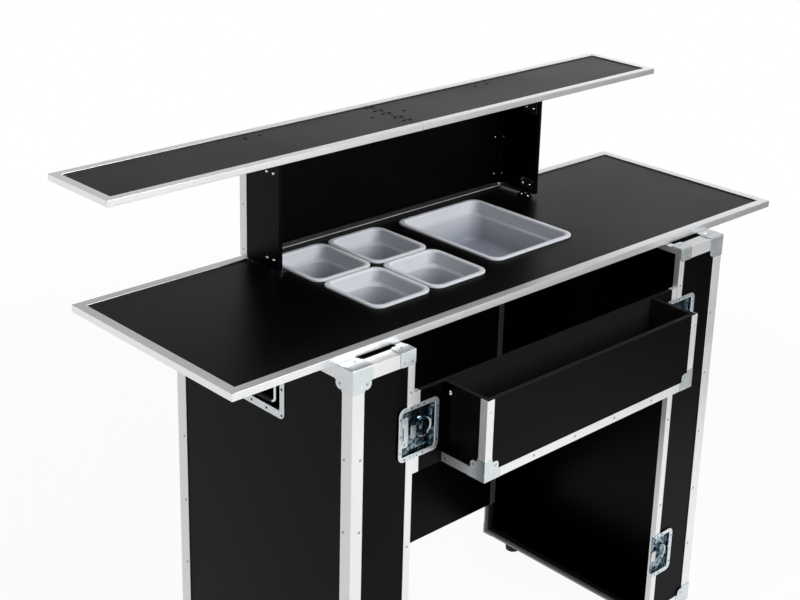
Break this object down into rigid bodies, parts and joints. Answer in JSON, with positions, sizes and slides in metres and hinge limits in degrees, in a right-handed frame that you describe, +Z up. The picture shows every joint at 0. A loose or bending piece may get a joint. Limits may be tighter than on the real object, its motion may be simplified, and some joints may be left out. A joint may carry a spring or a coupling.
{
  "type": "folding portable bar",
  "caption": "Flight-case style portable bar: two half cases as legs, folding front panel, latched bottle trough, worktop with drop-in pans, folding riser and upper shelf.",
  "frame": {"origin": "on the floor, at the middle of the footprint's bounding box", "axes": "+X along the bar to the bartender's right, +Y from the bartender to the customer, +Z up"},
  "size_m": [1.65, 0.753, 1.2973],
  "materials": {
    "laminate": "black laminated plywood, fine satin grain",
    "aluminium": "satin extruded profile",
    "steel": "zinc-plated pressed steel",
    "rubber": "black moulded rubber",
    "pan": "white moulded plastic, satin"
  },
  "bodies": {
    "left_case": {"left_case_shell": "laminate", "left_case_trim": "aluminium", "left_bartender_top_corner": "steel", "left_bartender_bottom_corner": "steel", "left_customer_top_corner": "steel", "left_customer_bottom_corner": "steel", "left_inner_bartender_foot": "rubber", "left_inner_customer_foot": "rubber", "left_outer_bartender_foot": "rubber", "left_outer_customer_foot": "rubber", "left_handle_dish": "steel", "left_upper_keeper": "steel", "left_lower_keeper": "steel", "left_front_hinge": "steel"},
    "left_bail": {"left_handle_bail": "steel"},
    "front_left": {"left_front_panel": "laminate", "middle_front_hinge": "steel"},
    "front_right": {"right_front_panel": "laminate"},
    "right_case": {"right_case_shell": "laminate", "right_case_trim": "aluminium", "right_bartender_top_corner": "steel", "right_bartender_bottom_corner": "steel", "right_customer_top_corner": "steel", "right_customer_bottom_corner": "steel", "right_inner_bartender_foot": "rubber", "right_inner_customer_foot": "rubber", "right_outer_bartender_foot": "rubber", "right_outer_customer_foot": "rubber", "right_handle_dish": "steel", "right_upper_latch_plate": "steel", "right_lower_latch_plate": "steel", "right_front_hinge": "steel"},
    "right_bail": {"right_handle_bail": "steel"},
    "upper_butterfly": {"right_upper_butterfly": "steel"},
    "lower_butterfly": {"right_lower_butterfly": "steel"},
    "bridge": {"bridge_board": "laminate", "bridge_latch_plate": "steel", "bridge_keeper": "steel", "trough": "laminate", "trough_trim": "aluminium"},
    "bridge_butterfly": {"bridge_butterfly": "steel"},
    "worktop": {"worktop_board": "laminate", "worktop_trim": "aluminium"},
    "large_pan": {"large_pan": "pan"},
    "small_pan_customer_left": {"small_pan_customer_left": "pan"},
    "small_pan_customer_right": {"small_pan_customer_right": "pan"},
    "small_pan_bartender_left": {"small_pan_bartender_left": "pan"},
    "small_pan_bartender_right": {"small_pan_bartender_right": "pan"},
    "riser": {"riser_back": "laminate", "left_riser_hinge": "steel", "right_riser_hinge": "steel"},
    "riser_left": {"left_riser_side": "laminate", "left_riser_foot_bracket": "steel"},
    "riser_right": {"right_riser_side": "laminate", "right_riser_foot_bracket": "steel"},
    "shelf_left": {"left_shelf_board": "laminate", "left_shelf_trim": "aluminium", "shelf_hinge": "steel"},
    "shelf_right": {"right_shelf_board": "laminate", "right_shelf_trim": "aluminium"}
  },
  "joints": [
    {"name": "base_fold", "type": "hinge", "parent": "left_case", "child": "front_left", "pos_m": [-0.4205, 0.2894, 0.5], "axis": [0, 0, -1], "range_deg": [0, 89.4]},
    {"name": "front_middle_fold", "type": "hinge", "parent": "front_left", "child": "front_right", "pos_m": [0, 0.2894, 0.5], "axis": [0, 0, 1], "range_deg": [0, 179]},
    {"name": "right_case_fold", "type": "hinge", "parent": "front_right", "child": "right_case", "pos_m": [0.4205, 0.2894, 0.5], "axis": [0, 0, -1], "range_deg": [0, 89.5]},
    {"name": "left_bail_swing", "type": "hinge", "parent": "left_case", "child": "left_bail", "pos_m": [-0.5682, 0.025, 0.9424], "axis": [0, 1, 0], "range_deg": [0, 90]},
    {"name": "right_bail_swing", "type": "hinge", "parent": "right_case", "child": "right_bail", "pos_m": [0.5682, 0.025, 0.9424], "axis": [0, -1, 0], "range_deg": [0, 90]},
    {"name": "upper_butterfly_turn", "type": "hinge", "parent": "right_case", "child": "upper_butterfly", "pos_m": [0.446, -0.254, 0.8414], "axis": [0, 1, 0], "range_deg": [0, 180]},
    {"name": "lower_butterfly_turn", "type": "hinge", "parent": "right_case", "child": "lower_butterfly", "pos_m": [0.446, -0.254, 0.2164], "axis": [0, 1, 0], "range_deg": [0, 180]},
    {"name": "bridge_removal", "type": "slide", "parent": "left_case", "child": "bridge", "axis": [0, -1, 0], "range_m": [0, 0.61]},
    {"name": "bridge_butterfly_turn", "type": "hinge", "parent": "bridge", "child": "bridge_butterfly", "pos_m": [-0.3873, -0.254, 0.8414], "axis": [0, 1, 0], "range_deg": [0, 180]},
    {"name": "worktop_removal", "type": "slide", "parent": "left_case", "child": "worktop", "axis": [0, 0, 1], "range_m": [0, 0.32]},
    {"name": "large_pan_lift", "type": "slide", "parent": "worktop", "child": "large_pan", "axis": [0, 0, 1], "range_m": [0, 0.12]},
    {"name": "small_pan_customer_left_lift", "type": "slide", "parent": "worktop", "child": "small_pan_customer_left", "axis": [0, 0, 1], "range_m": [0, 0.12]},
    {"name": "small_pan_customer_right_lift", "type": "slide", "parent": "worktop", "child": "small_pan_customer_right", "axis": [0, 0, 1], "range_m": [0, 0.12]},
    {"name": "small_pan_bartender_left_lift", "type": "slide", "parent": "worktop", "child": "small_pan_bartender_left", "axis": [0, 0, 1], "range_m": [0, 0.12]},
    {"name": "small_pan_bartender_right_lift", "type": "slide", "parent": "worktop", "child": "small_pan_bartender_right", "axis": [0, 0, 1], "range_m": [0, 0.12]},
    {"name": "riser_removal", "type": "slide", "parent": "worktop", "child": "riser", "axis": [0, 0, 1], "range_m": [0, 0.3]},
    {"name": "riser_left_fold", "type": "hinge", "parent": "riser", "child": "riser_left", "pos_m": [-0.3922, 0.2897, 1.16], "axis": [0, 0, 1], "range_deg": [0, 90]},
    {"name": "riser_right_fold", "type": "hinge", "parent": "riser", "child": "riser_right", "pos_m": [0.3922, 0.2897, 1.16], "axis": [0, 0, -1], "range_deg": [0, 90]},
    {"name": "shelf_removal", "type": "slide", "parent": "riser", "child": "shelf_left", "axis": [0, 0, 1], "range_m": [0, 0.15]},
    {"name": "shelf_fold", "type": "hinge", "parent": "shelf_left", "child": "shelf_right", "pos_m": [0, 0.2705, 1.2948], "axis": [0, -1, 0], "range_deg": [0, 180]}
  ],
  "couplings": [
    {"joint": "front_middle_fold", "follows": "base_fold", "ratio": 2},
    {"joint": "right_case_fold", "follows": "base_fold", "ratio": 1},
    {"joint": "worktop_removal", "follows": "base_fold", "m_per_rad": 0.2},
    {"joint": "bridge_removal", "follows": "base_fold", "m_per_rad": 0.385},
    {"joint": "riser_left_fold", "follows": "riser_removal", "rad_per_m": 5.23},
    {"joint": "riser_right_fold", "follows": "riser_removal", "rad_per_m": 5.23},
    {"joint": "shelf_removal", "follows": "riser_removal", "ratio": 0.5}
  ]
}
